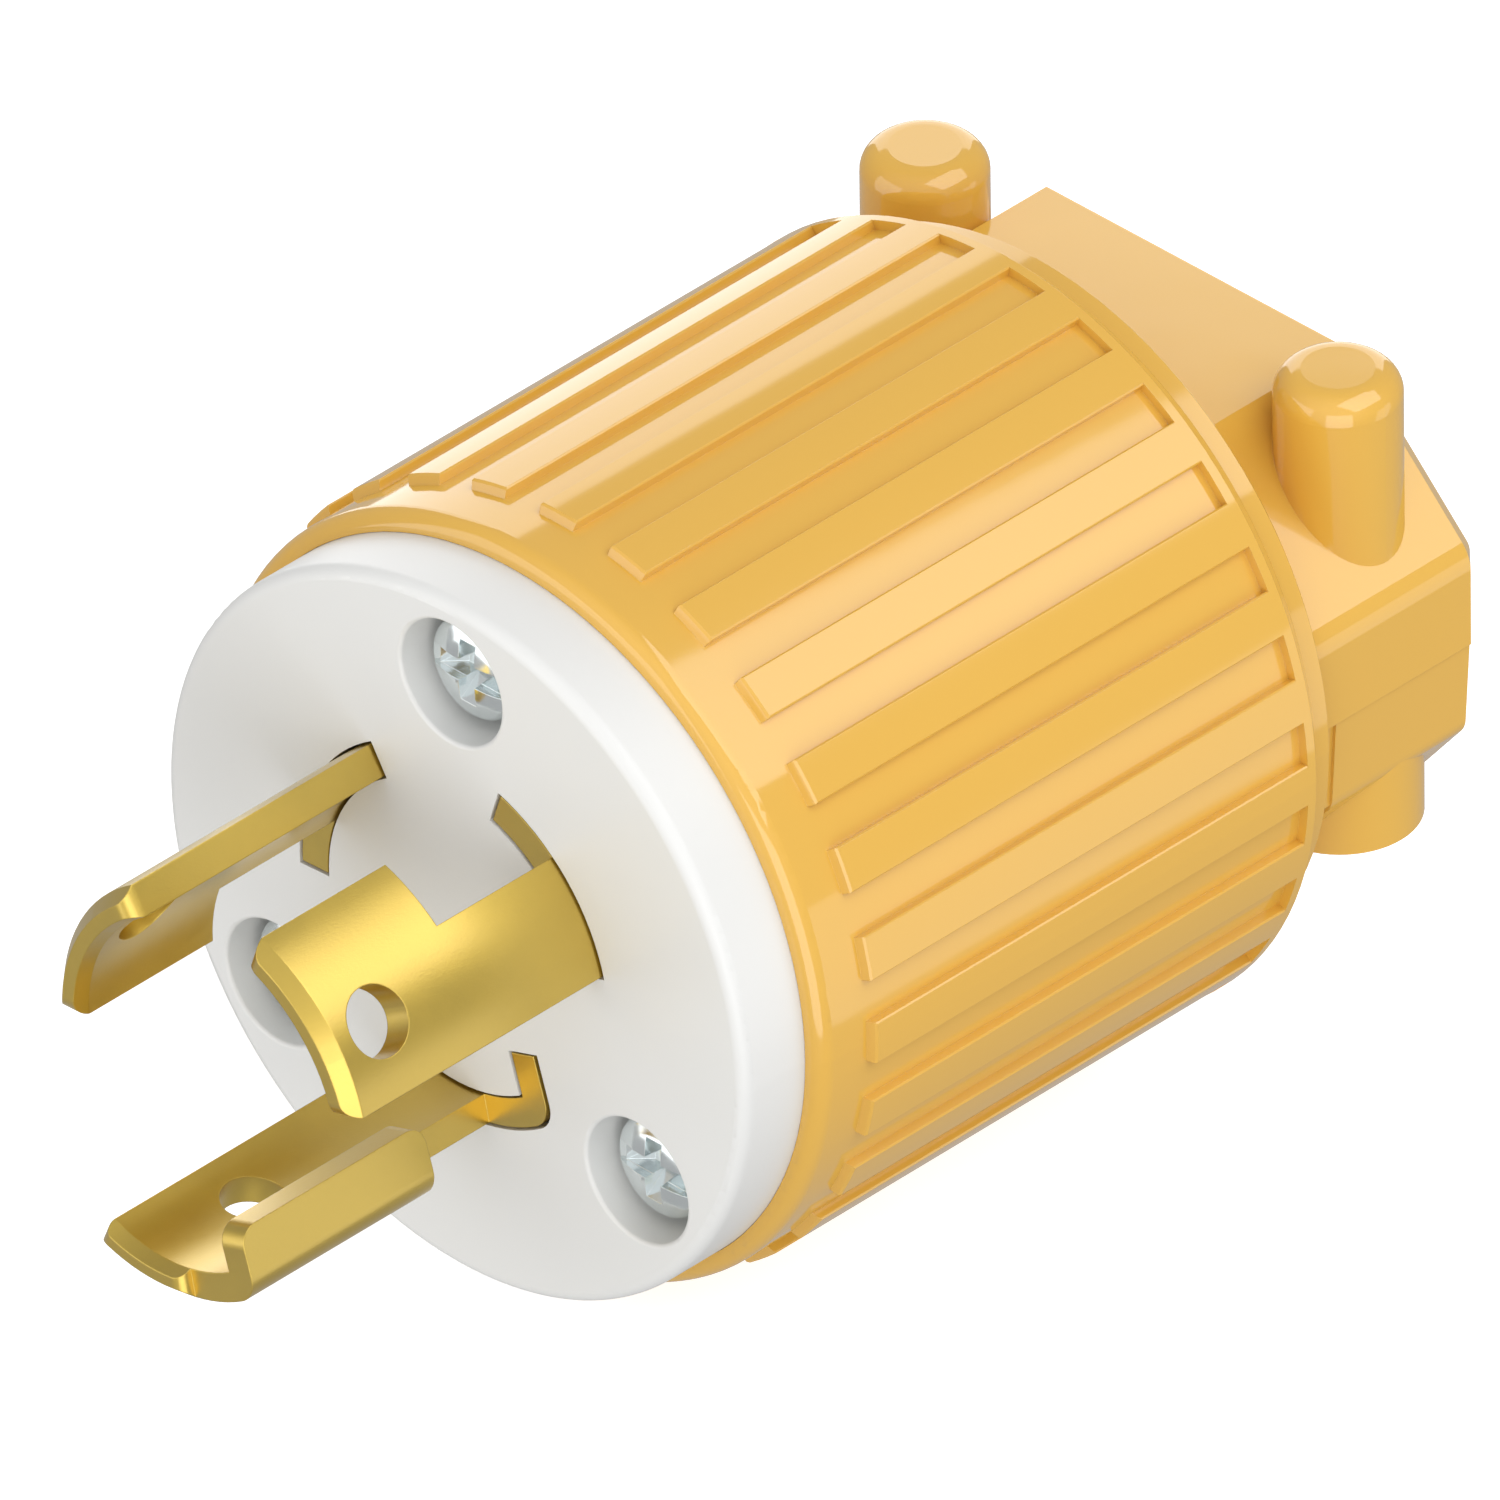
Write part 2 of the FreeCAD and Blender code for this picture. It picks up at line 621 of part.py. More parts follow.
# Blades: the middle of the neck lies along the body's own X
def hook_section(body, name, place, grow="0", grow_angle="0", gap="0"):
    """The section of the ground blade: an arc whose far end turns in as a straight flange."""
    sketch = sketch_on(body, name, "XZ_Plane", rise=f"-({place})", turn="hook_turn_angle")
    outer, inner = size("ground_radius"), size("blade_inner")
    face, back = size("hook_offset"), size("hook_back")
    start = math.radians(-size("ground_neck_angle") / 2 - size("hook_turn_angle"))
    ends = {outer: -math.acos(face / outer), inner: -math.acos(back / inner)}
    for radius in (outer, inner):
        arc = Part.Circle(FreeCAD.Vector(), AXIS, radius)
        sketch.addGeometry(Part.ArcOfCircle(arc, start, ends[radius]), False)
    edge = -size("hook_edge")
    outer_end = FreeCAD.Vector(face, outer * math.sin(ends[outer]), 0)
    inner_end = FreeCAD.Vector(back, inner * math.sin(ends[inner]), 0)
    tip_out, tip_in = FreeCAD.Vector(face, edge, 0), FreeCAD.Vector(back, edge, 0)
    start_in = FreeCAD.Vector(inner * math.cos(start), inner * math.sin(start), 0)
    start_out = FreeCAD.Vector(outer * math.cos(start), outer * math.sin(start), 0)
    for first, last in ((outer_end, tip_out), (tip_out, tip_in), (tip_in, inner_end), (start_in, start_out)):
        sketch.addGeometry(Part.LineSegment(first, last), False)
    for item in (0, 1):
        sketch.addConstraint(Sketcher.Constraint("Coincident", item, 3, -1, 1))
    for first, first_end, last, last_end in (
        (0, 2, 2, 1), (2, 2, 3, 1), (3, 2, 4, 1), (4, 2, 1, 2), (1, 1, 5, 1), (5, 2, 0, 1),
    ):
        sketch.addConstraint(Sketcher.Constraint("Coincident", first, first_end, last, last_end))
    sketch.addConstraint(Sketcher.Constraint("Vertical", 2))
    sketch.addConstraint(Sketcher.Constraint("Vertical", 4))
    wide, narrow = f"(ground_radius + {grow})", f"(blade_inner - {grow})"
    hold_radius(sketch, 0, wide, outer)
    hold_radius(sketch, 1, narrow, inner)
    beta = f"(-ground_neck_angle / 2 - hook_turn_angle - {grow_angle})"
    hold(sketch, "DistanceX", 0, 1, f"{wide} * cos({beta})", start_out.x)
    hold(sketch, "DistanceX", 1, 1, f"{narrow} * cos({beta})", start_in.x)
    hold(sketch, "DistanceX", 0, 2, f"hook_offset + {grow} + {gap}", face)
    hold(sketch, "DistanceX", 1, 2, f"hook_back - {grow}", back)
    hold(sketch, "DistanceY", 2, 2, f"-(hook_edge - {grow})", edge)
    hold(sketch, "DistanceY", 3, 2, f"-(hook_edge - {grow})", edge)
    return sketch


def hook_bend(grow=0.0, gap=0.0):
    """A test for the long outer edge where the arc turns into the flange."""
    turn = math.radians(size("hook_turn_angle"))
    offset = size("hook_offset") + grow + gap
    drop = math.sqrt((size("ground_radius") + grow) ** 2 - offset ** 2)
    face = FreeCAD.Vector(math.cos(turn), 0, math.sin(turn)) * offset
    bend = face + FreeCAD.Vector(math.sin(turn), 0, -math.cos(turn)) * drop
    return line_through(FreeCAD.Vector(0, 1, 0), [bend])


def strip(body, name, near, far, back, forward, outer="blade_radius"):
    """A stretch of curved strip between two places along the plug."""
    return turned(body, name, [
        ("blade_inner", near), (outer, near), (outer, far), ("blade_inner", far),
    ], back, forward)


def lead_in(body, length, outer="blade_radius"):
    """Bevels outside and inside the tip of a blade."""
    turned(body, "outer_lead_in", [
        (outer, f"lead_in_length - {length}"),
        (f"{outer} + 1", f"lead_in_length - {length}"),
        (f"{outer} + 1", f"-{length} - 1"),
        (f"{outer} - lead_in_drop", f"-{length} - 1"),
        (f"{outer} - lead_in_drop", f"-{length}"),
    ], cut=True)
    turned(body, "inner_lead_in", [
        ("blade_inner", f"lead_in_length - {length}"),
        (f"blade_inner - 1", f"lead_in_length - {length}"),
        (f"blade_inner - 1", f"-{length} - 1"),
        (f"blade_inner + lead_in_drop / 2", f"-{length} - 1"),
        (f"blade_inner + lead_in_drop / 2", f"-{length}"),
    ], cut=True)


def tail_and_tab(body, neck, outer="blade_radius"):
    """The narrow tail through the base and the flat tab that takes the terminal screw."""
    strip(body, "tail", "insert_depth", "tab_front + blade_thickness", f"{neck} / 2", f"{neck} / 2", outer)
    section = sketch_on(body, "tab_section", "XY_Plane")
    near, far = "tab_front", "tab_front + tab_length"
    outline(section, [("blade_inner", near), (outer, near), (outer, far), ("blade_inner", far)])
    padded(body, "tab", section, "tab_width", both_ways=True)


def pierced(body, place, radius, shift):
    """The round hole near the tip and the threaded hole in the tab."""
    holes = sketch_on(body, "hole_section", "YZ_Plane")
    circle(holes, place, shift, radius)
    circle(holes, "terminal_middle", "0", "terminal_shank_radius")
    pocketed(body, "holes", holes, "blade_radius * 2", reverse=True)


def tip_edges(length, near_only=False):
    """A test for the short edges through the strip at the corners of its tip."""
    def chosen(edge):
        ends = [vertex.Point for vertex in edge.Vertexes]
        across = edge.Length < size("blade_thickness") + NEAR and edge.Curve.TypeId == "Part::GeomLine"
        at_tip = all(abs(end.y + length) < NEAR for end in ends)
        return across and at_tip and not (near_only and ends[0].z > 0)
    return chosen


def make_line_blade(label, blade):
    body = new_body(label)
    neck = f"{blade}_neck_angle"
    back, forward = f"{neck} / 2", f"({blade}_width_angle - {neck} / 2)"
    strip(body, "wide_tip", "-line_length", "-line_neck_length", back, forward)
    strip(body, "neck", "-line_neck_length", "shoulder_depth", back, f"{neck} / 2")
    strip(body, "shoulder", "shoulder_depth", "insert_depth", back, forward)
    tail_and_tab(body, neck)
    rounded(body, "tip_corners", "tip_corner", tip_edges(size("line_length")))
    lead_in(body, "line_length")
    pierced(body, "line_hole_setback - line_length", "line_hole_radius", "line_hole_shift")
    stand(body, turns=[about_plug(f"{blade}_start_angle + {neck} / 2")])
    return body


def make_ground_blade():
    body = new_body("blade_ground")
    neck = "ground_neck_angle"
    tip = hook_section(body, "hook_tip_section", "-ground_neck_length")
    padded(body, "hook", tip, "hook_front - ground_neck_length")
    strip(body, "neck", "-ground_neck_length", "shoulder_depth", f"{neck} / 2", f"{neck} / 2", "ground_radius")
    base = hook_section(body, "hook_base_section", "insert_depth")
    padded(body, "hook_base", base, "insert_depth - shoulder_depth")
    tail_and_tab(body, neck, "ground_radius")
    rounded(body, "hook_bend", "hook_fillet", hook_bend())
    rounded(body, "hook_corners", "hook_corner", hook_tip_edges)
    strip(body, "nose", "-ground_length", "-hook_front", f"{neck} / 2", f"{neck} / 2", "ground_radius")
    rounded(body, "nose_corners", "nose_corner", tip_edges(size("ground_length")))
    lead_in(body, "ground_length", "ground_radius")
    pierced(body, "ground_hole_setback - ground_length", "ground_hole_radius", "ground_hole_shift")
    stand(body, turns=[about_plug(f"ground_start_angle + {neck} / 2")])
    return body


def hook_tip_edges(edge):
    """The short edges through the free edge of the flange, at both ends of the hook."""
    ends = [vertex.Point for vertex in edge.Vertexes]
    short = abs(edge.Length - size("hook_thickness")) < NEAR
    turn = math.radians(size("hook_turn_angle"))
    reach = [-end.x * math.sin(turn) + end.z * math.cos(turn) for end in ends]
    at_edge = all(abs(value + size("hook_edge")) < NEAR for value in reach)
    return short and at_edge and all(end.y < 0 for end in ends)


# Screws: the head lies to -Y of its seat and the shank to +Y, before the screw is stood up
def make_screw(label, head, height, shank, length):
    body = new_body(label)
    turned(body, "screw", [
        ("0", f"-{height}"), (head, f"-{height}"), (head, "0"), (shank, "0"),
        (shank, f"{length} - {shank} / 2"), (f"{shank} / 2", length), ("0", length),
    ])
    rounded(body, "head_edge", f"{height} * 0.5", ring_at(size(head), -size(height)))
    slot = sketch_on(body, "slot_section", "XZ_Plane", rise=height)
    across, along = f"{head} * 1.2", "recess_width / 2"
    outline(slot, [(f"-{across}", f"-{along}"), (across, f"-{along}"), (across, along), (f"-{across}", along)])
    pocketed(body, "slot", slot, "recess_depth")
    cross = sketch_on(body, "cross_section", "XZ_Plane", rise=height)
    outline(cross, [(f"-{along}", "-recess_reach"), (along, "-recess_reach"),
                    (along, "recess_reach"), (f"-{along}", "recess_reach")])
    pocketed(body, "cross", cross, "recess_depth * 1.2")
    heart = sketch_on(body, "heart_section", "XZ_Plane", rise=height)
    outline(heart, [("-recess_width * 1.3", "0"), ("0", "-recess_width * 1.3"),
                    ("recess_width * 1.3", "0"), ("0", "recess_width * 1.3")])
    pocket = pocketed(body, "heart", heart, "recess_depth * 1.5")
    pocket.TaperAngle = -20
    return body


def make_pressure_plate(label, angle):
    body = new_body(label)
    plate = sketch_on(body, "plate_section", "YZ_Plane", rise="plate_inner")
    near, far = "terminal_middle - plate_length / 2", "terminal_middle + plate_length / 2"
    outline(plate, [(near, "-plate_width / 2"), (far, "-plate_width / 2"),
                    (far, "plate_width / 2"), (near, "plate_width / 2")])
    circle(plate, "terminal_middle", "0", "terminal_shank_radius")
    padded(body, "plate", plate, "plate_thickness")
    stand(body, turns=[about_plug(angle)])
    return body


def make_thread(label, side):
    body = new_body(label)
    turned(body, "thread", [
        ("clamp_shank_radius", "0"), ("thread_radius", "0"), ("thread_radius", "thread_length"),
        ("clamp_shank_radius", "thread_length"),
    ])
    stand(body, (f"{side}post_spread", "post_place", "0"), ["rotation(vector(1; 0; 0); 90)"])
    return body


pieces = [make_shell(), make_face_insert(), make_terminal_base(), make_cord_clamp()]
pieces += [make_line_blade("blade_line_1", "line_1"), make_line_blade("blade_line_2", "line_2")]
pieces.append(make_ground_blade())
for number, (across, upward) in enumerate(FACE_SPOTS, start=1):
    screw = make_screw(f"face_screw_{number}", "face_head_radius", "face_head_height", "face_shank_radius",
                       "face_screw_length")
    stand(screw, (across, "well_depth", upward))
    pieces.append(screw)
for number, blade in enumerate(("line_1", "line_2", "ground"), start=1):
    middle = f"({blade}_start_angle + {blade}_neck_angle / 2)"
    screw = make_screw(f"terminal_screw_{number}", "terminal_head_radius", "terminal_head_height",
                       "terminal_shank_radius", "terminal_length")
    stand(screw, (f"terminal_seat * cos({middle})", "terminal_middle", f"terminal_seat * sin({middle})"),
          [about_plug(middle), "rotation(vector(0; 0; 1); 90)"])
    pieces.append(screw)
    pieces.append(make_pressure_plate(f"pressure_plate_{number}", middle))
for label, side in (("left", "-"), ("right", "")):
    screw = make_screw(f"clamp_screw_{label}", "clamp_head_radius", "clamp_head_height", "clamp_shank_radius",
                       "clamp_screw_length")
    stand(screw, (f"{side}post_spread", "post_place", "-clamp_seat"),
          ["rotation(vector(1; 0; 0); 90)"])
    pieces.append(screw)
    pieces.append(make_thread(f"clamp_thread_{label}", side))

doc.recompute()
for item in doc.Objects:
    if "Invalid" in item.State or "Error" in item.State:
        raise RuntimeError(f"{item.Label} did not build: {item.State}")
for piece in pieces:
    if piece.Shape.isNull() or not piece.Shape.isValid() or len(piece.Shape.Solids) != 1:
        raise RuntimeError(f"{piece.Label} is not one whole solid")
os.makedirs("parts", exist_ok=True)
for piece in pieces:
    piece.Shape.exportStep(f"parts/{piece.Label}.step")
    print(piece.Label, round(piece.Shape.Volume, 2))
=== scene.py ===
"""Finishes, face screws and studio of a locking power plug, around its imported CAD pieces."""

import math

import bpy
from bpy.props import FloatProperty, FloatVectorProperty, PointerProperty
from mathutils import Matrix, Vector


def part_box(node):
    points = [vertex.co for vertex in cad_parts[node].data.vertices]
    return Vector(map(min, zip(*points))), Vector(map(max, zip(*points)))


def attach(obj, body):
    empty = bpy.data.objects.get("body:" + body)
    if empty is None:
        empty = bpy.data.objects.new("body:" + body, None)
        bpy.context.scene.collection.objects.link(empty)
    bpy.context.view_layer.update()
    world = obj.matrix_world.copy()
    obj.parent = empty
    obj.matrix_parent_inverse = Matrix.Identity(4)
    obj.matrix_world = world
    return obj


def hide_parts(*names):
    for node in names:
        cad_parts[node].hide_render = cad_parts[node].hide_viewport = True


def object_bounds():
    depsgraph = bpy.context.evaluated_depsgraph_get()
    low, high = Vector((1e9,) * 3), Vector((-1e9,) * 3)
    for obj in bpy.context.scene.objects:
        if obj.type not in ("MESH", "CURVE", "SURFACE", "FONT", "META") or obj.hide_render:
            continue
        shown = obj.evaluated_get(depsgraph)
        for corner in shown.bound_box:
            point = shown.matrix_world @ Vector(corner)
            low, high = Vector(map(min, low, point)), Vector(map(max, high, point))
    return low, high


bl_info = {
    "name": "Locking power plug",
    "version": (1, 0, 0),
    "blender": (4, 5, 0),
    "location": "3D View > Sidebar > Plug",
    "description": "Dresses the pieces of a locking power plug and sets up its studio",
    "category": "Object",
}

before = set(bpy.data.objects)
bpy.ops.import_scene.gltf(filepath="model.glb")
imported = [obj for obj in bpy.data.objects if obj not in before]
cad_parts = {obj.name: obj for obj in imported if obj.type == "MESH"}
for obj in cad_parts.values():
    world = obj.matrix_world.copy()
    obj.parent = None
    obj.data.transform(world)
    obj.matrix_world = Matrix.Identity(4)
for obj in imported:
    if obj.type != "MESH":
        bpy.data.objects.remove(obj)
CAD_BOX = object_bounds()

MM = 0.001
WHITE = (1, 1, 1)

YELLOW_PIECES = ("shell", "cord_clamp")
WHITE_PIECES = ("face_insert", "terminal_base")
BRASS_PIECES = ("blade_line_1", "blade_line_2", "blade_ground", "pressure_plate_1",
                "pressure_plate_2", "pressure_plate_3", "clamp_thread_left", "clamp_thread_right")
STEEL_PIECES = ("terminal_screw_1", "terminal_screw_2", "clamp_screw_left", "clamp_screw_right")
GREEN_PIECES = ("terminal_screw_3",)
FACE_SCREWS = ("face_screw_1", "face_screw_2", "face_screw_3")

# The crown of a screw's head in steps: how far each goes in, and its share of the whole rise.
CROWN_STEPS = ((0.3 * MM, 0.46), (0.45 * MM, 0.36), (0.5 * MM, 0.18))
SEAT_EDGE = 0.08 * MM
TIP_CHAMFER = 0.35 * MM
WING_LENGTH = 3.2 * MM
WING_TOE = 0.9 * MM
CUTTER_HEADROOM = 0.3 * MM

# Soft boxes: azimuth from +Y towards +X and height in degrees, then width and height in metres.
SOFT_BOXES = {
    "top_box": (69, 54, 0.66, 0.5),
    "back_box": (-44, 11, 0.46, 0.515),
    "far_box": (52, -12, 0.3, 0.3),
    "right_box": (131, -3, 0.5, 0.56),
    "left_box": (-154, 6, 0.58, 0.6),
}
SOFT_BOX_DISTANCE = 0.6

# Where the surroundings are brightest: in front of the plug, above it and a little to the right.
BRIGHT_WAY = (0.4, -0.78, 0.48)


def linear(code):
    """Linear red, green and blue of an sRGB hex colour."""
    shares = [int(code[place:place + 2], 16) / 255 for place in (1, 3, 5)]
    return tuple(share / 12.92 if share <= 0.04045 else ((share + 0.055) / 1.055) ** 2.4
                 for share in shares)


def shaded(colour, brightness=1):
    """A colour with its alpha, darkened to a share of its brightness."""
    return (*[share * brightness for share in colour], 1)


def add_node(tree, kind, settings=(), **sockets):
    """Adds a node, sets its settings, and fills or links its sockets.

    A socket's name has _ for a space. One that shares its name with others goes by its number: a
    Mix node's two colours are _6 and _7, and its mixed colour is output 2."""
    new = tree.nodes.new(kind)
    for name, value in dict(settings).items():
        setattr(new, name, value)
    for name, value in sockets.items():
        label = name[1:]
        socket = new.inputs[int(label) if label.isdigit() else name.replace("_", " ")]
        if isinstance(value, bpy.types.NodeSocket):
            tree.links.new(value, socket)
        else:
            socket.default_value = value
    return new


def new_material(name):
    """A material with no nodes but the coordinates of the object that carries it."""
    material = bpy.data.materials.new(name)
    material.use_nodes = True
    tree = material.node_tree
    tree.nodes.clear()
    place = add_node(tree, "ShaderNodeTexCoord").outputs["Object"]
    return material, tree, place


def dress(names, material):
    """Gives CAD pieces one material."""
    for name in names:
        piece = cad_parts[name]
        for slot in piece.material_slots:
            slot.link = "DATA"
            slot.material = material
        if not piece.material_slots:
            piece.data.materials.append(material)


def glossy_nylon(name, colour, roughness):
    """Impact-modified nylon, injection moulded in a polished tool: an even colour through the
    wall, a clear gloss, edges that the tool rounds by under a tenth of a millimetre, and a slow
    faint ripple in the reflections where the plastic sank while it cooled."""
    material, tree, place = new_material(name)
    drift = add_node(tree, "ShaderNodeTexNoise", Vector=place, Scale=1 / (14 * MM), Detail=2.0)
    tint = add_node(tree, "ShaderNodeMix", {"data_type": "RGBA"}, Factor=drift.outputs["Fac"],
                    _6=shaded(colour, 0.98), _7=shaded(colour))
    sink = add_node(tree, "ShaderNodeTexNoise", Vector=place, Scale=1 / (5 * MM), Detail=1.0)
    edge = add_node(tree, "ShaderNodeBevel", {"samples": 6}, Radius=0.03 * MM)
    rippled = add_node(tree, "ShaderNodeBump", Height=sink.outputs["Fac"], Strength=0.25,
                       Distance=0.02 * MM, Normal=edge.outputs["Normal"])
    sheen = add_node(tree, "ShaderNodeMapRange", Value=drift.outputs["Fac"],
                     To_Min=roughness - 0.01, To_Max=roughness + 0.01)
    # Nylon's own IOR is 1.53. It is raised until the gloss is as strong as the real one's.
    plastic = add_node(tree, "ShaderNodeBsdfPrincipled", Base_Color=tint.outputs[2],
                       Roughness=sheen.outputs[0], IOR=1.72, Normal=rippled.outputs["Normal"])
    add_node(tree, "ShaderNodeOutputMaterial", Surface=plastic.outputs[0])
    return material


def satin_nylon(name, colour, roughness):
    """Glass-filled white nylon from a fine eroded tool: dense and chalky, with a soft broad
    sheen."""
    material, tree, place = new_material(name)
    drift = add_node(tree, "ShaderNodeTexNoise", Vector=place, Scale=1 / (9 * MM), Detail=3.0)
    tint = add_node(tree, "ShaderNodeMix", {"data_type": "RGBA"}, Factor=drift.outputs["Fac"],
                    _6=shaded(colour, 0.97), _7=shaded(colour))
    # The real grain of the tool is about 0.05 mm. It is drawn as coarse as it needs to show.
    grain = add_node(tree, "ShaderNodeTexNoise", Vector=place, Scale=1 / (0.18 * MM), Detail=3.0)
    grained = add_node(tree, "ShaderNodeBump", Height=grain.outputs["Fac"], Strength=0.4,
                       Distance=0.01 * MM)
    plastic = add_node(tree, "ShaderNodeBsdfPrincipled", Base_Color=tint.outputs[2],
                       Roughness=roughness, IOR=1.53, Normal=grained.outputs["Normal"])
    add_node(tree, "ShaderNodeOutputMaterial", Surface=plastic.outputs[0])
    return material


def stamped_brass(name, colour, roughness):
    """Half-hard brass strip, stamped, tumbled and dipped in clear passivating lacquer: a satin
    yellow metal with a fine rolling grain, edges that the tumbling has rounded, and a faint
    darker tarnish."""
    material, tree, place = new_material(name)
    drift = add_node(tree, "ShaderNodeTexNoise", Vector=place, Scale=1 / (3.5 * MM), Detail=4.0,
                     Roughness=0.6)
    tint = add_node(tree, "ShaderNodeMix", {"data_type": "RGBA"}, Factor=drift.outputs["Fac"],
                    _6=shaded(colour, 0.86), _7=shaded(colour))
    # The grain runs along the blades, to -Y. The real one is about 0.03 mm across, and it is
    # drawn as coarse as it needs to show.
    drawn = add_node(tree, "ShaderNodeMapping", Vector=place, Scale=(1, 0.4, 1))
    grain = add_node(tree, "ShaderNodeTexNoise", Vector=drawn.outputs[0], Scale=1 / (0.08 * MM),
                     Detail=2.0)
    edge = add_node(tree, "ShaderNodeBevel", {"samples": 6}, Radius=0.08 * MM)
    grained = add_node(tree, "ShaderNodeBump", Height=grain.outputs["Fac"], Strength=0.7,
                       Distance=0.008 * MM, Normal=edge.outputs["Normal"])
    sheen = add_node(tree, "ShaderNodeMapRange", Value=drift.outputs["Fac"],
                     To_Min=roughness - 0.05, To_Max=roughness + 0.07)
    metal = add_node(tree, "ShaderNodeBsdfPrincipled", Base_Color=tint.outputs[2], Metallic=1.0,
                     Roughness=sheen.outputs[0], Normal=grained.outputs["Normal"],
                     Coat_Weight=0.8, Coat_Roughness=0.25, Coat_IOR=1.65,
                     Coat_Normal=edge.outputs["Normal"])
    add_node(tree, "ShaderNodeOutputMaterial", Surface=metal.outputs[0])
    return material


def zinc_plate(name, colour, roughness):
    """Cold-headed steel with bright zinc plate: bluish white, glossy, with the edges slightly
    rounded by the plating and a fine cloudy bloom."""
    material, tree, place = new_material(name)
    bloom = add_node(tree, "ShaderNodeTexNoise", Vector=place, Scale=1 / (0.6 * MM), Detail=4.0)
    tint = add_node(tree, "ShaderNodeMix", {"data_type": "RGBA"}, Factor=bloom.outputs["Fac"],
                    _6=shaded(colour, 0.9), _7=shaded(colour))
    edge = add_node(tree, "ShaderNodeBevel", {"samples": 6}, Radius=0.04 * MM)
    clouded = add_node(tree, "ShaderNodeBump", Height=bloom.outputs["Fac"], Strength=0.2,
                       Distance=0.006 * MM, Normal=edge.outputs["Normal"])
    sheen = add_node(tree, "ShaderNodeMapRange", Value=bloom.outputs["Fac"],
                     To_Min=roughness - 0.05, To_Max=roughness + 0.06)
    metal = add_node(tree, "ShaderNodeBsdfPrincipled", Base_Color=tint.outputs[2], Metallic=1.0,
                     Roughness=sheen.outputs[0], Normal=clouded.outputs["Normal"])
    add_node(tree, "ShaderNodeOutputMaterial", Surface=metal.outputs[0])
    return material


def green_lacquer(name, colour, roughness):
    """Steel dipped in green lacquer, thin enough to look darker where it has pulled away."""
    material, tree, place = new_material(name)
    pull = add_node(tree, "ShaderNodeTexNoise", Vector=place, Scale=1 / (1.5 * MM), Detail=3.0)
    tint = add_node(tree, "ShaderNodeMix", {"data_type": "RGBA"}, Factor=pull.outputs["Fac"],
                    _6=shaded(colour, 0.7), _7=shaded(colour))
    lacquer = add_node(tree, "ShaderNodeBsdfPrincipled", Base_Color=tint.outputs[2],
                       Roughness=roughness, IOR=1.5)
    add_node(tree, "ShaderNodeOutputMaterial", Surface=lacquer.outputs[0])
    return material


def opal_acrylic(name, glow):
    """Opal acrylic sheet, sanded matt and lit from below: an even white with a faint cloud."""
    material, tree, place = new_material(name)
    cloud = add_node(tree, "ShaderNodeTexNoise", Vector=place, Scale=1 / (30 * MM), Detail=2.0)
    tint = add_node(tree, "ShaderNodeMix", {"data_type": "RGBA"}, Factor=cloud.outputs["Fac"],
                    _6=shaded(WHITE, 0.6), _7=shaded(WHITE, 0.61))
    sheet = add_node(tree, "ShaderNodeBsdfPrincipled", Base_Color=tint.outputs[2], Roughness=0.8,
                     Emission_Color=shaded(WHITE), Emission_Strength=glow)
    add_node(tree, "ShaderNodeOutputMaterial", Surface=sheet.outputs[0])
    return material


class PlugFinish(bpy.types.PropertyGroup):
    """Colours and gloss of the plug's materials."""

    yellow: FloatVectorProperty(
        name="Yellow nylon", description="Colour of the sleeve and the cord clamp",
        subtype="COLOR", size=3, min=0, max=1, default=linear("#E0AF49"))
    white: FloatVectorProperty(
        name="White nylon", description="Colour of the face and the terminal base",
        subtype="COLOR", size=3, min=0, max=1, default=linear("#E1E1DF"))
    brass: FloatVectorProperty(
        name="Brass", description="Colour of the blades and terminals",
        subtype="COLOR", size=3, min=0, max=1, default=linear("#D8B84A"))
    zinc: FloatVectorProperty(
        name="Zinc plate", description="Colour of the plated screws",
        subtype="COLOR", size=3, min=0, max=1, default=linear("#EEF4F5"))
    green: FloatVectorProperty(
        name="Green lacquer", description="Colour of the ground terminal's screw",
        subtype="COLOR", size=3, min=0, max=1, default=linear("#2E7A45"))
    yellow_roughness: FloatProperty(
        name="Yellow roughness", description="Roughness of the yellow nylon",
        subtype="FACTOR", min=0, max=1, default=0.08)
    white_roughness: FloatProperty(
        name="White roughness", description="Roughness of the white nylon",
        subtype="FACTOR", min=0, max=1, default=0.38)
    brass_roughness: FloatProperty(
        name="Brass roughness", description="Roughness of the brass",
        subtype="FACTOR", min=0, max=1, default=0.34)
    zinc_roughness: FloatProperty(
        name="Zinc roughness", description="Roughness of the plated screws",
        subtype="FACTOR", min=0, max=1, default=0.13)
    green_roughness: FloatProperty(
        name="Green roughness", description="Roughness of the green lacquer",
        subtype="FACTOR", min=0, max=1, default=0.35)


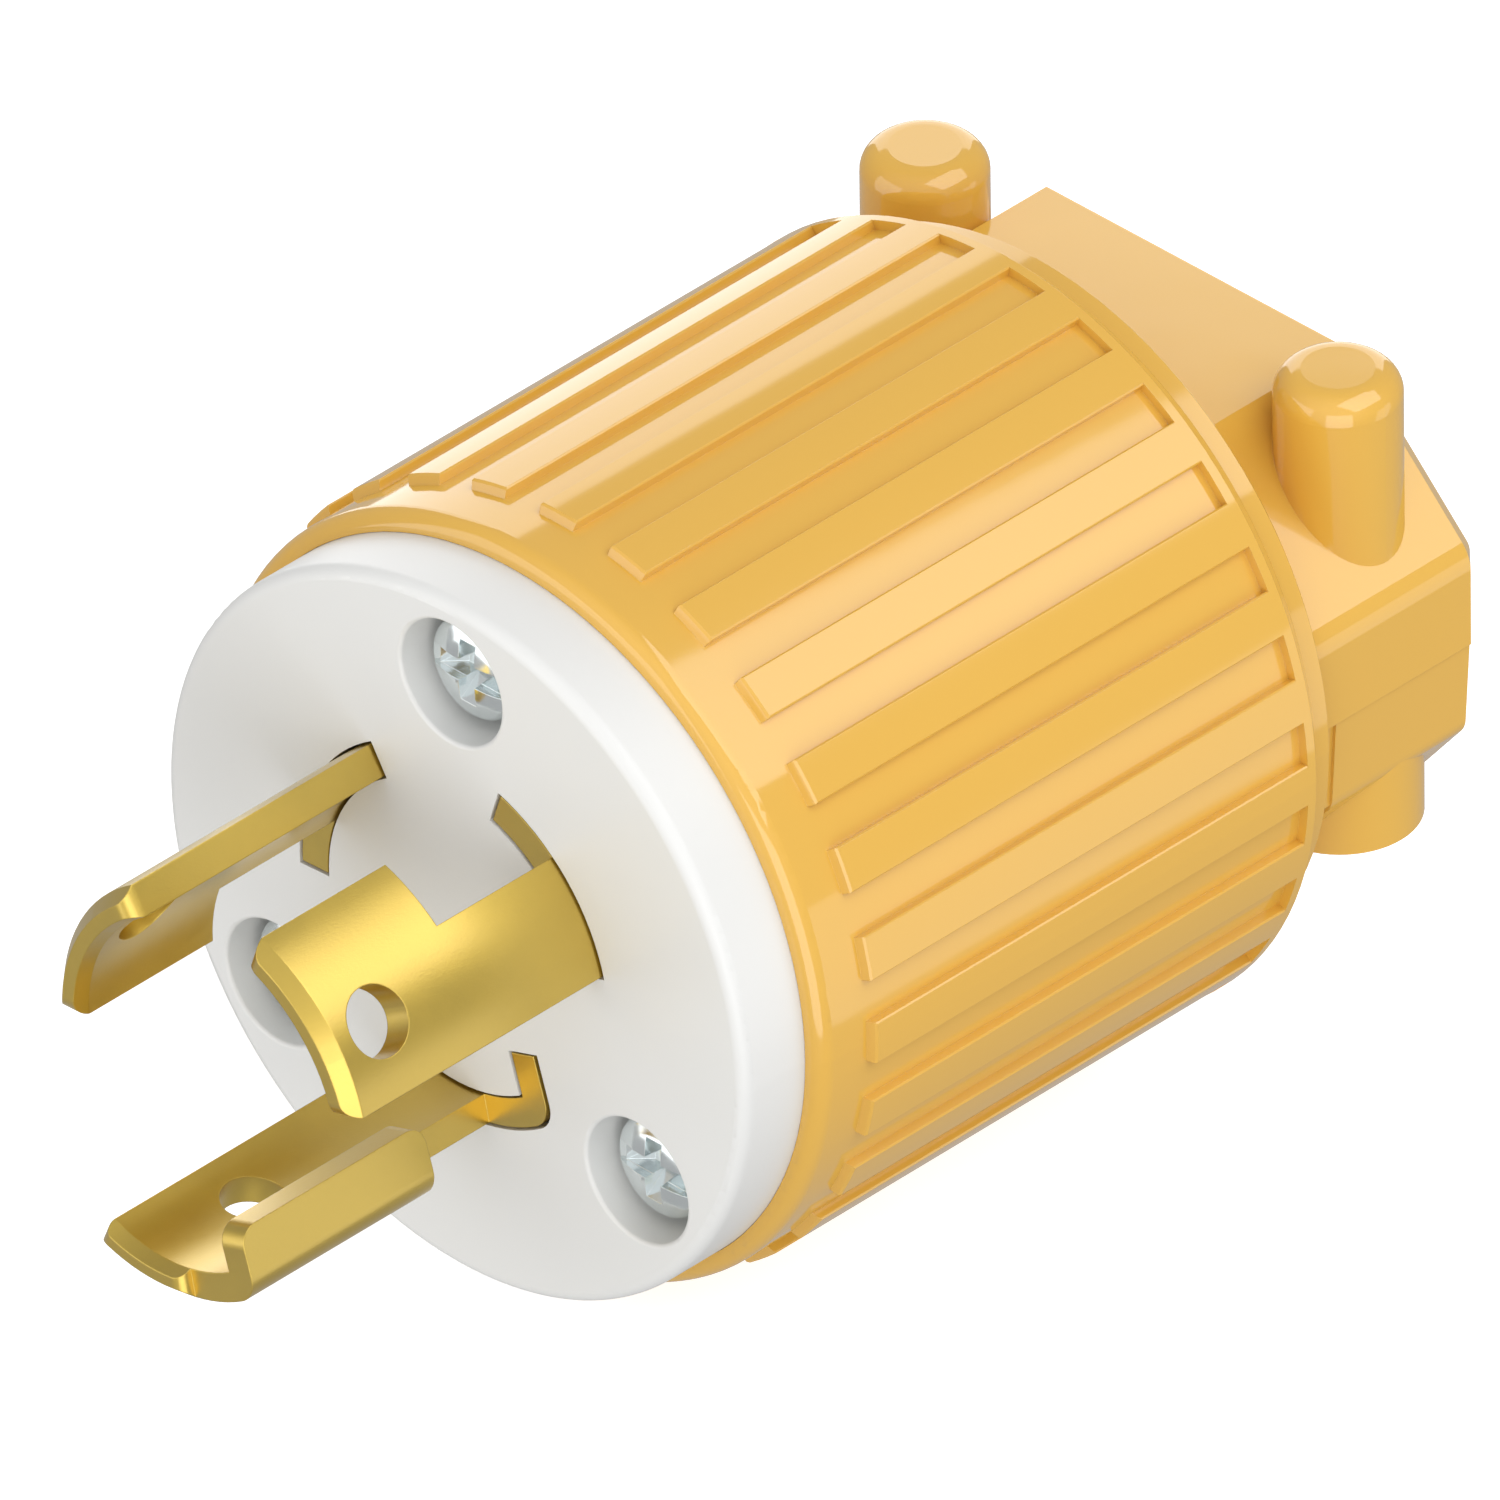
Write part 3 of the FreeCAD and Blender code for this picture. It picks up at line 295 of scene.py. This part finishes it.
class PlugScrews(bpy.types.PropertyGroup):
    """Sizes of the three screws in the face."""

    head_radius: FloatProperty(
        name="Head radius", description="Of the cheese head",
        unit="LENGTH", subtype="DISTANCE", min=2 * MM, default=2.4 * MM)
    head_height: FloatProperty(
        name="Head height", description="From its top to its seat",
        unit="LENGTH", subtype="DISTANCE", min=1.8 * MM, default=1.95 * MM)
    shoulder: FloatProperty(
        name="Shoulder", description="Width of the rounded edge of the head",
        unit="LENGTH", subtype="DISTANCE", min=0.1 * MM, default=0.4 * MM)
    crown: FloatProperty(
        name="Crown", description="Rise of the middle of the head over its rounded edge",
        unit="LENGTH", subtype="DISTANCE", min=0, default=0.25 * MM)
    shank_radius: FloatProperty(
        name="Shank radius", description="Of the plain shank",
        unit="LENGTH", subtype="DISTANCE", min=1 * MM, default=1.5 * MM)
    slot_width: FloatProperty(
        name="Slot width", description="Of the slot for a flat blade",
        unit="LENGTH", subtype="DISTANCE", min=0.5 * MM, default=1.05 * MM)
    wing_width: FloatProperty(
        name="Wing width", description="Of the cross recess's upright wings",
        unit="LENGTH", subtype="DISTANCE", min=0.5 * MM, default=0.92 * MM)
    recess_depth: FloatProperty(
        name="Recess depth", description="In the middle of the head",
        unit="LENGTH", subtype="DISTANCE", min=0.5 * MM, default=1.25 * MM)


class PlugStudio(bpy.types.PropertyGroup):
    """Camera and lights around the plug."""

    azimuth: FloatProperty(
        name="Azimuth", description="Turn of the camera from the front, towards +X",
        unit="ROTATION", subtype="ANGLE", default=0.77793)
    elevation: FloatProperty(
        name="Elevation", description="Height of the camera's line of sight",
        unit="ROTATION", subtype="ANGLE", default=0.60533)
    roll: FloatProperty(
        name="Roll", description="Turn of the picture about the line of sight",
        unit="ROTATION", subtype="ANGLE", default=-0.01133)
    distance: FloatProperty(
        name="Distance", description="From the middle of the picture to the camera",
        unit="LENGTH", subtype="DISTANCE", default=2.7797)
    focal_length: FloatProperty(
        name="Focal length", description="For a 36 mm wide sensor", unit="CAMERA", default=1600)
    middle_right: FloatProperty(
        name="Middle to the right",
        description="Middle of the picture from the face's centre, to the right",
        unit="LENGTH", subtype="DISTANCE", default=12.346 * MM)
    middle_up: FloatProperty(
        name="Middle up", description="Middle of the picture from the face's centre, upwards",
        unit="LENGTH", subtype="DISTANCE", default=7.794 * MM)
    world_light: FloatProperty(
        name="Surrounding light", description="Brightness of the pale surroundings overhead",
        min=0, default=0.45)
    front_light: FloatProperty(
        name="Front light",
        description="Added brightness of the surroundings in front of the plug",
        min=0, default=0.42)
    low_light: FloatProperty(
        name="Low light", description="Brightness of the surroundings below the plug",
        min=0, default=0.45)
    table_light: FloatProperty(
        name="Table light", description="Glow of the white table from below",
        min=0, default=0.8)
    top_box: FloatProperty(
        name="Top box", description="Brightness of the large soft box overhead",
        min=0, default=2.0)
    back_box: FloatProperty(
        name="Back box", description="Brightness of the soft box behind, on the left",
        min=0, default=1.65)
    far_box: FloatProperty(
        name="Far box", description="Brightness of the soft box behind, on the right",
        min=0, default=0.8)
    right_box: FloatProperty(
        name="Right box", description="Brightness of the soft box in front, on the right",
        min=0, default=1.7)
    left_box: FloatProperty(
        name="Left box", description="Brightness of the soft box in front, on the left",
        min=0, default=1.15)


class PLUG_OT_yellow_mouldings(bpy.types.Operator):
    """Finish the sleeve and the loose clamp half in glossy yellow nylon"""

    bl_idname = "plug.yellow_mouldings"
    bl_label = "Sleeve and cord clamp"

    def execute(self, context):
        finish = context.scene.plug_finish
        dress(YELLOW_PIECES, glossy_nylon("glossy_moulded_nylon", finish.yellow,
                                          finish.yellow_roughness))
        return {"FINISHED"}


class PLUG_OT_white_mouldings(bpy.types.Operator):
    """Finish the face and the terminal base in satin white nylon"""

    bl_idname = "plug.white_mouldings"
    bl_label = "Face and terminal base"

    def execute(self, context):
        finish = context.scene.plug_finish
        dress(WHITE_PIECES, satin_nylon("satin_moulded_nylon", finish.white,
                                        finish.white_roughness))
        return {"FINISHED"}


class PLUG_OT_brass_parts(bpy.types.Operator):
    """Finish the blades, the pressure plates and the clamp's threads in stamped brass"""

    bl_idname = "plug.brass_parts"
    bl_label = "Blades and brass parts"

    def execute(self, context):
        finish = context.scene.plug_finish
        dress(BRASS_PIECES, stamped_brass("stamped_tumbled_brass", finish.brass,
                                          finish.brass_roughness))
        return {"FINISHED"}


class PLUG_OT_screws(bpy.types.Operator):
    """Finish the terminal and clamp screws in zinc plate, and the ground screw in green lacquer"""

    bl_idname = "plug.screws"
    bl_label = "Screws"

    def execute(self, context):
        finish = context.scene.plug_finish
        dress(STEEL_PIECES, zinc_plate("bright_zinc_plated_steel", finish.zinc,
                                       finish.zinc_roughness))
        dress(GREEN_PIECES, green_lacquer("green_lacquered_steel", finish.green,
                                          finish.green_roughness))
        return {"FINISHED"}


def edit_end(piece, side):
    """Goes into edit mode with only the flat end of a piece selected, its top with side 1 and its
    bottom with side -1."""
    bpy.ops.object.mode_set(mode="OBJECT")
    bpy.context.tool_settings.mesh_select_mode = (False, False, True)
    for group in (piece.data.vertices, piece.data.edges, piece.data.polygons):
        for item in group:
            item.select = False
    end = max(piece.data.polygons, key=lambda face: side * face.normal.z * face.area)
    end.select = True
    bpy.ops.object.mode_set(mode="EDIT")


def recess_cutter(length, width, toe_length, toe_width, depth):
    """A wedge that reaches from just over a screw head's top down to a narrower toe."""
    bpy.ops.object.select_all(action="DESELECT")
    bpy.ops.mesh.primitive_cube_add(size=1, location=(0, 0, -depth / 2),
                                    scale=(length, width, depth))
    bpy.ops.object.transform_apply()
    cutter = bpy.context.active_object
    edit_end(cutter, -1)
    bpy.ops.transform.resize(value=(toe_length / length, toe_width / width, 1),
                             center_override=(0, 0, -depth))
    edit_end(cutter, 1)
    bpy.ops.mesh.extrude_region_move(TRANSFORM_OT_translate={"value": (0, 0, CUTTER_HEADROOM)})
    bpy.ops.object.mode_set(mode="OBJECT")
    return cutter


def cut_away(piece, cutter):
    """Takes a cutter's space out of a piece, and the cutter with it."""
    cut = piece.modifiers.new("recess", "BOOLEAN")
    cut.object = cutter
    bpy.ops.object.select_all(action="DESELECT")
    piece.select_set(True)
    bpy.context.view_layer.objects.active = piece
    bpy.ops.object.modifier_apply(modifier=cut.name)
    bpy.data.objects.remove(cutter)


class PLUG_OT_face_screws(bpy.types.Operator):
    """Model the face screws: rounded cheese heads with a slot and a cross recess, plain shanks"""

    bl_idname = "plug.face_screws"
    bl_label = "Face screws"

    def execute(self, context):
        screws = context.scene.plug_screws
        finish = context.scene.plug_finish
        low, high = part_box(FACE_SCREWS[0])
        shank_length = high.y - low.y - screws.head_height

        # One screw, upright, with the middle of its head at the origin.
        bpy.ops.object.select_all(action="DESELECT")
        bpy.ops.mesh.primitive_cylinder_add(
            vertices=96, radius=screws.head_radius, depth=screws.head_height - screws.crown,
            location=(0, 0, -(screws.head_height + screws.crown) / 2))
        bpy.ops.object.transform_apply()
        screw = context.active_object
        edit_end(screw, 1)
        bpy.ops.mesh.bevel(offset=screws.shoulder, segments=6, affect="EDGES")
        edit_end(screw, 1)
        for inward, share in CROWN_STEPS:
            bpy.ops.mesh.inset(thickness=inward)
            bpy.ops.transform.translate(value=(0, 0, share * screws.crown))
        edit_end(screw, -1)
        bpy.ops.mesh.bevel(offset=SEAT_EDGE, segments=2, affect="EDGES")
        edit_end(screw, -1)
        bpy.ops.mesh.inset(thickness=screws.head_radius - screws.shank_radius - SEAT_EDGE)
        bpy.ops.mesh.extrude_region_move(TRANSFORM_OT_translate={"value": (0, 0, -shank_length)})
        bpy.ops.mesh.bevel(offset=TIP_CHAMFER, segments=1, affect="EDGES")
        bpy.ops.object.mode_set(mode="OBJECT")

        # Its recess: a shallow slot past both sides of the head, the slot's deep middle, and the
        # upright wings. Each has a length and width at the top, the same at its toe, and a depth.
        across, depth = 2.2 * screws.head_radius, screws.recess_depth
        slot, wing = screws.slot_width, screws.wing_width
        for sizes in ((across, slot, across, slot, 0.36 * depth),
                      (0.92 * across, slot, 0.4 * across, 0.9 * slot, depth),
                      (wing, WING_LENGTH, 0.8 * wing, WING_TOE, depth)):
            cut_away(screw, recess_cutter(*sizes))

        bpy.ops.object.mode_set(mode="EDIT")
        bpy.ops.mesh.select_all(action="SELECT")
        bpy.ops.mesh.remove_doubles(threshold=0.001 * MM)
        bpy.ops.mesh.normals_make_consistent(inside=False)
        bpy.ops.object.mode_set(mode="OBJECT")
        bpy.ops.object.shade_smooth_by_angle(angle=math.radians(28))
        screw.data.materials.append(zinc_plate("bright_zinc_plated_heads", finish.zinc,
                                               finish.zinc_roughness))

        # A copy in each well, its head to -Y as the face looks.
        lay = Matrix.Rotation(math.radians(90), 4, "X")
        for node in FACE_SCREWS:
            low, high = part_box(node)
            place = Vector(((low.x + high.x) / 2, low.y, (low.z + high.z) / 2))
            copy = bpy.data.objects.new(node.replace("face_", "slotted_face_"),
                                        screw.data.copy())
            copy.data.transform(Matrix.Translation(place) @ lay)
            context.collection.objects.link(copy)
            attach(copy, "root")
            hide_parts(node)
        bpy.data.objects.remove(screw)
        return {"FINISHED"}


def lay_table(height, glow):
    """A sheet of glowing white acrylic under the plug."""
    bpy.ops.object.select_all(action="DESELECT")
    bpy.ops.mesh.primitive_plane_add(size=4, location=(0, 0, height))
    table = bpy.context.active_object
    table.name = "floor"
    bpy.ops.object.transform_apply()
    table.data.materials.append(opal_acrylic("opal_acrylic_table", glow))
    # The plug is cut out on white in the picture: no table mirrors in it or lights it, and none
    # keeps the lower lights off it.
    table.visible_diffuse = False
    table.visible_glossy = False
    table.visible_shadow = False


def light_surroundings(overhead, below, added_front):
    """Pale surroundings, with their own brightness overhead and below, and more in front."""
    world = bpy.data.worlds.new("white_surroundings")
    world.use_nodes = True
    tree = world.node_tree
    tree.nodes.clear()
    way = add_node(tree, "ShaderNodeTexCoord").outputs["Generated"]
    height = add_node(tree, "ShaderNodeSeparateXYZ", Vector=way).outputs["Z"]
    glow = add_node(tree, "ShaderNodeMapRange", Value=height, From_Min=-0.3, From_Max=0.25,
                    To_Min=below, To_Max=overhead)
    front = add_node(tree, "ShaderNodeVectorMath", {"operation": "DOT_PRODUCT"}, _0=way,
                     _1=BRIGHT_WAY)
    fill = add_node(tree, "ShaderNodeMapRange", Value=front.outputs["Value"], From_Min=0.3,
                    From_Max=1.0, To_Max=added_front)
    both = add_node(tree, "ShaderNodeMath", {"operation": "ADD"}, _0=glow.outputs[0],
                    _1=fill.outputs[0])
    light = add_node(tree, "ShaderNodeBackground", Color=shaded(WHITE), Strength=both.outputs[0])
    add_node(tree, "ShaderNodeOutputWorld", Surface=light.outputs[0])
    bpy.context.scene.world = world


def soft_box(name, turn, rise, width, height, brightness):
    """A soft box around the plug, aimed at it, with its place and size as in SOFT_BOXES."""
    light = bpy.data.lights.new(name, "AREA")
    light.shape = "RECTANGLE"
    light.size, light.size_y = width, height
    light.energy = brightness * math.pi * width * height
    turn, rise = math.radians(turn), math.radians(rise)
    way = Vector((math.sin(turn) * math.cos(rise), math.cos(turn) * math.cos(rise),
                  math.sin(rise)))
    box = bpy.data.objects.new(name, light)
    box.location = SOFT_BOX_DISTANCE * way
    box.rotation_euler = (-way).to_track_quat("-Z", "Y").to_euler()
    bpy.context.collection.objects.link(box)


def place_camera(studio):
    """The camera, looking at the middle of the picture from the studio's angle."""
    turn, rise = studio.azimuth, studio.elevation
    back = Vector((math.sin(turn) * math.cos(rise), -math.cos(turn) * math.cos(rise),
                   math.sin(rise)))
    right = Vector((math.cos(turn), math.sin(turn), 0))
    up = back.cross(right)
    lean = Matrix.Rotation(studio.roll, 3, back)
    right, up = lean @ right, lean @ up
    middle = studio.middle_right * right + studio.middle_up * up
    camera = bpy.data.objects.new("camera", bpy.data.cameras.new("camera"))
    camera.matrix_world = (Matrix.Translation(middle + studio.distance * back)
                           @ Matrix((right, up, back)).transposed().to_4x4())
    camera.data.sensor_width = 36
    camera.data.lens = studio.focal_length
    camera.data.clip_start = 0.1
    camera.data.clip_end = 20
    bpy.context.collection.objects.link(camera)
    bpy.context.scene.camera = camera


class PLUG_OT_stage(bpy.types.Operator):
    """Set the plug on a pale table in soft studio light, with the camera in its place"""

    bl_idname = "plug.stage"
    bl_label = "Studio"

    def execute(self, context):
        studio = context.scene.plug_studio
        lay_table(CAD_BOX[0].z, studio.table_light)
        light_surroundings(studio.world_light, studio.low_light, studio.front_light)
        for name, (turn, rise, width, height) in SOFT_BOXES.items():
            soft_box(name, turn, rise, width, height, getattr(studio, name))
        place_camera(studio)
        context.scene.view_settings.view_transform = "Standard"
        return {"FINISHED"}


class PLUG_PT_panel(bpy.types.Panel):
    """Steps that dress the plug, in the 3D view's sidebar"""

    bl_idname = "PLUG_PT_panel"
    bl_label = "Locking power plug"
    bl_space_type = "VIEW_3D"
    bl_region_type = "UI"
    bl_category = "Plug"

    def draw(self, context):
        scene = context.scene
        for operator in OPERATORS:
            self.layout.operator(operator.bl_idname)
        for group in (scene.plug_finish, scene.plug_screws, scene.plug_studio):
            box = self.layout.box()
            for name in group.bl_rna.properties.keys():
                if name not in ("rna_type", "name"):
                    box.prop(group, name)


OPERATORS = (PLUG_OT_yellow_mouldings, PLUG_OT_white_mouldings, PLUG_OT_brass_parts,
             PLUG_OT_screws, PLUG_OT_face_screws, PLUG_OT_stage)
CLASSES = (PlugFinish, PlugScrews, PlugStudio, *OPERATORS, PLUG_PT_panel)


def register():
    for cls in CLASSES:
        bpy.utils.register_class(cls)
    bpy.types.Scene.plug_finish = PointerProperty(type=PlugFinish)
    bpy.types.Scene.plug_screws = PointerProperty(type=PlugScrews)
    bpy.types.Scene.plug_studio = PointerProperty(type=PlugStudio)


def unregister():
    del bpy.types.Scene.plug_studio
    del bpy.types.Scene.plug_screws
    del bpy.types.Scene.plug_finish
    for cls in reversed(CLASSES):
        bpy.utils.unregister_class(cls)


def main():
    register()
    bpy.ops.plug.yellow_mouldings()
    bpy.ops.plug.white_mouldings()
    bpy.ops.plug.brass_parts()
    bpy.ops.plug.screws()
    bpy.ops.plug.face_screws()
    bpy.ops.plug.stage()


if __name__ == "__main__":
    main()
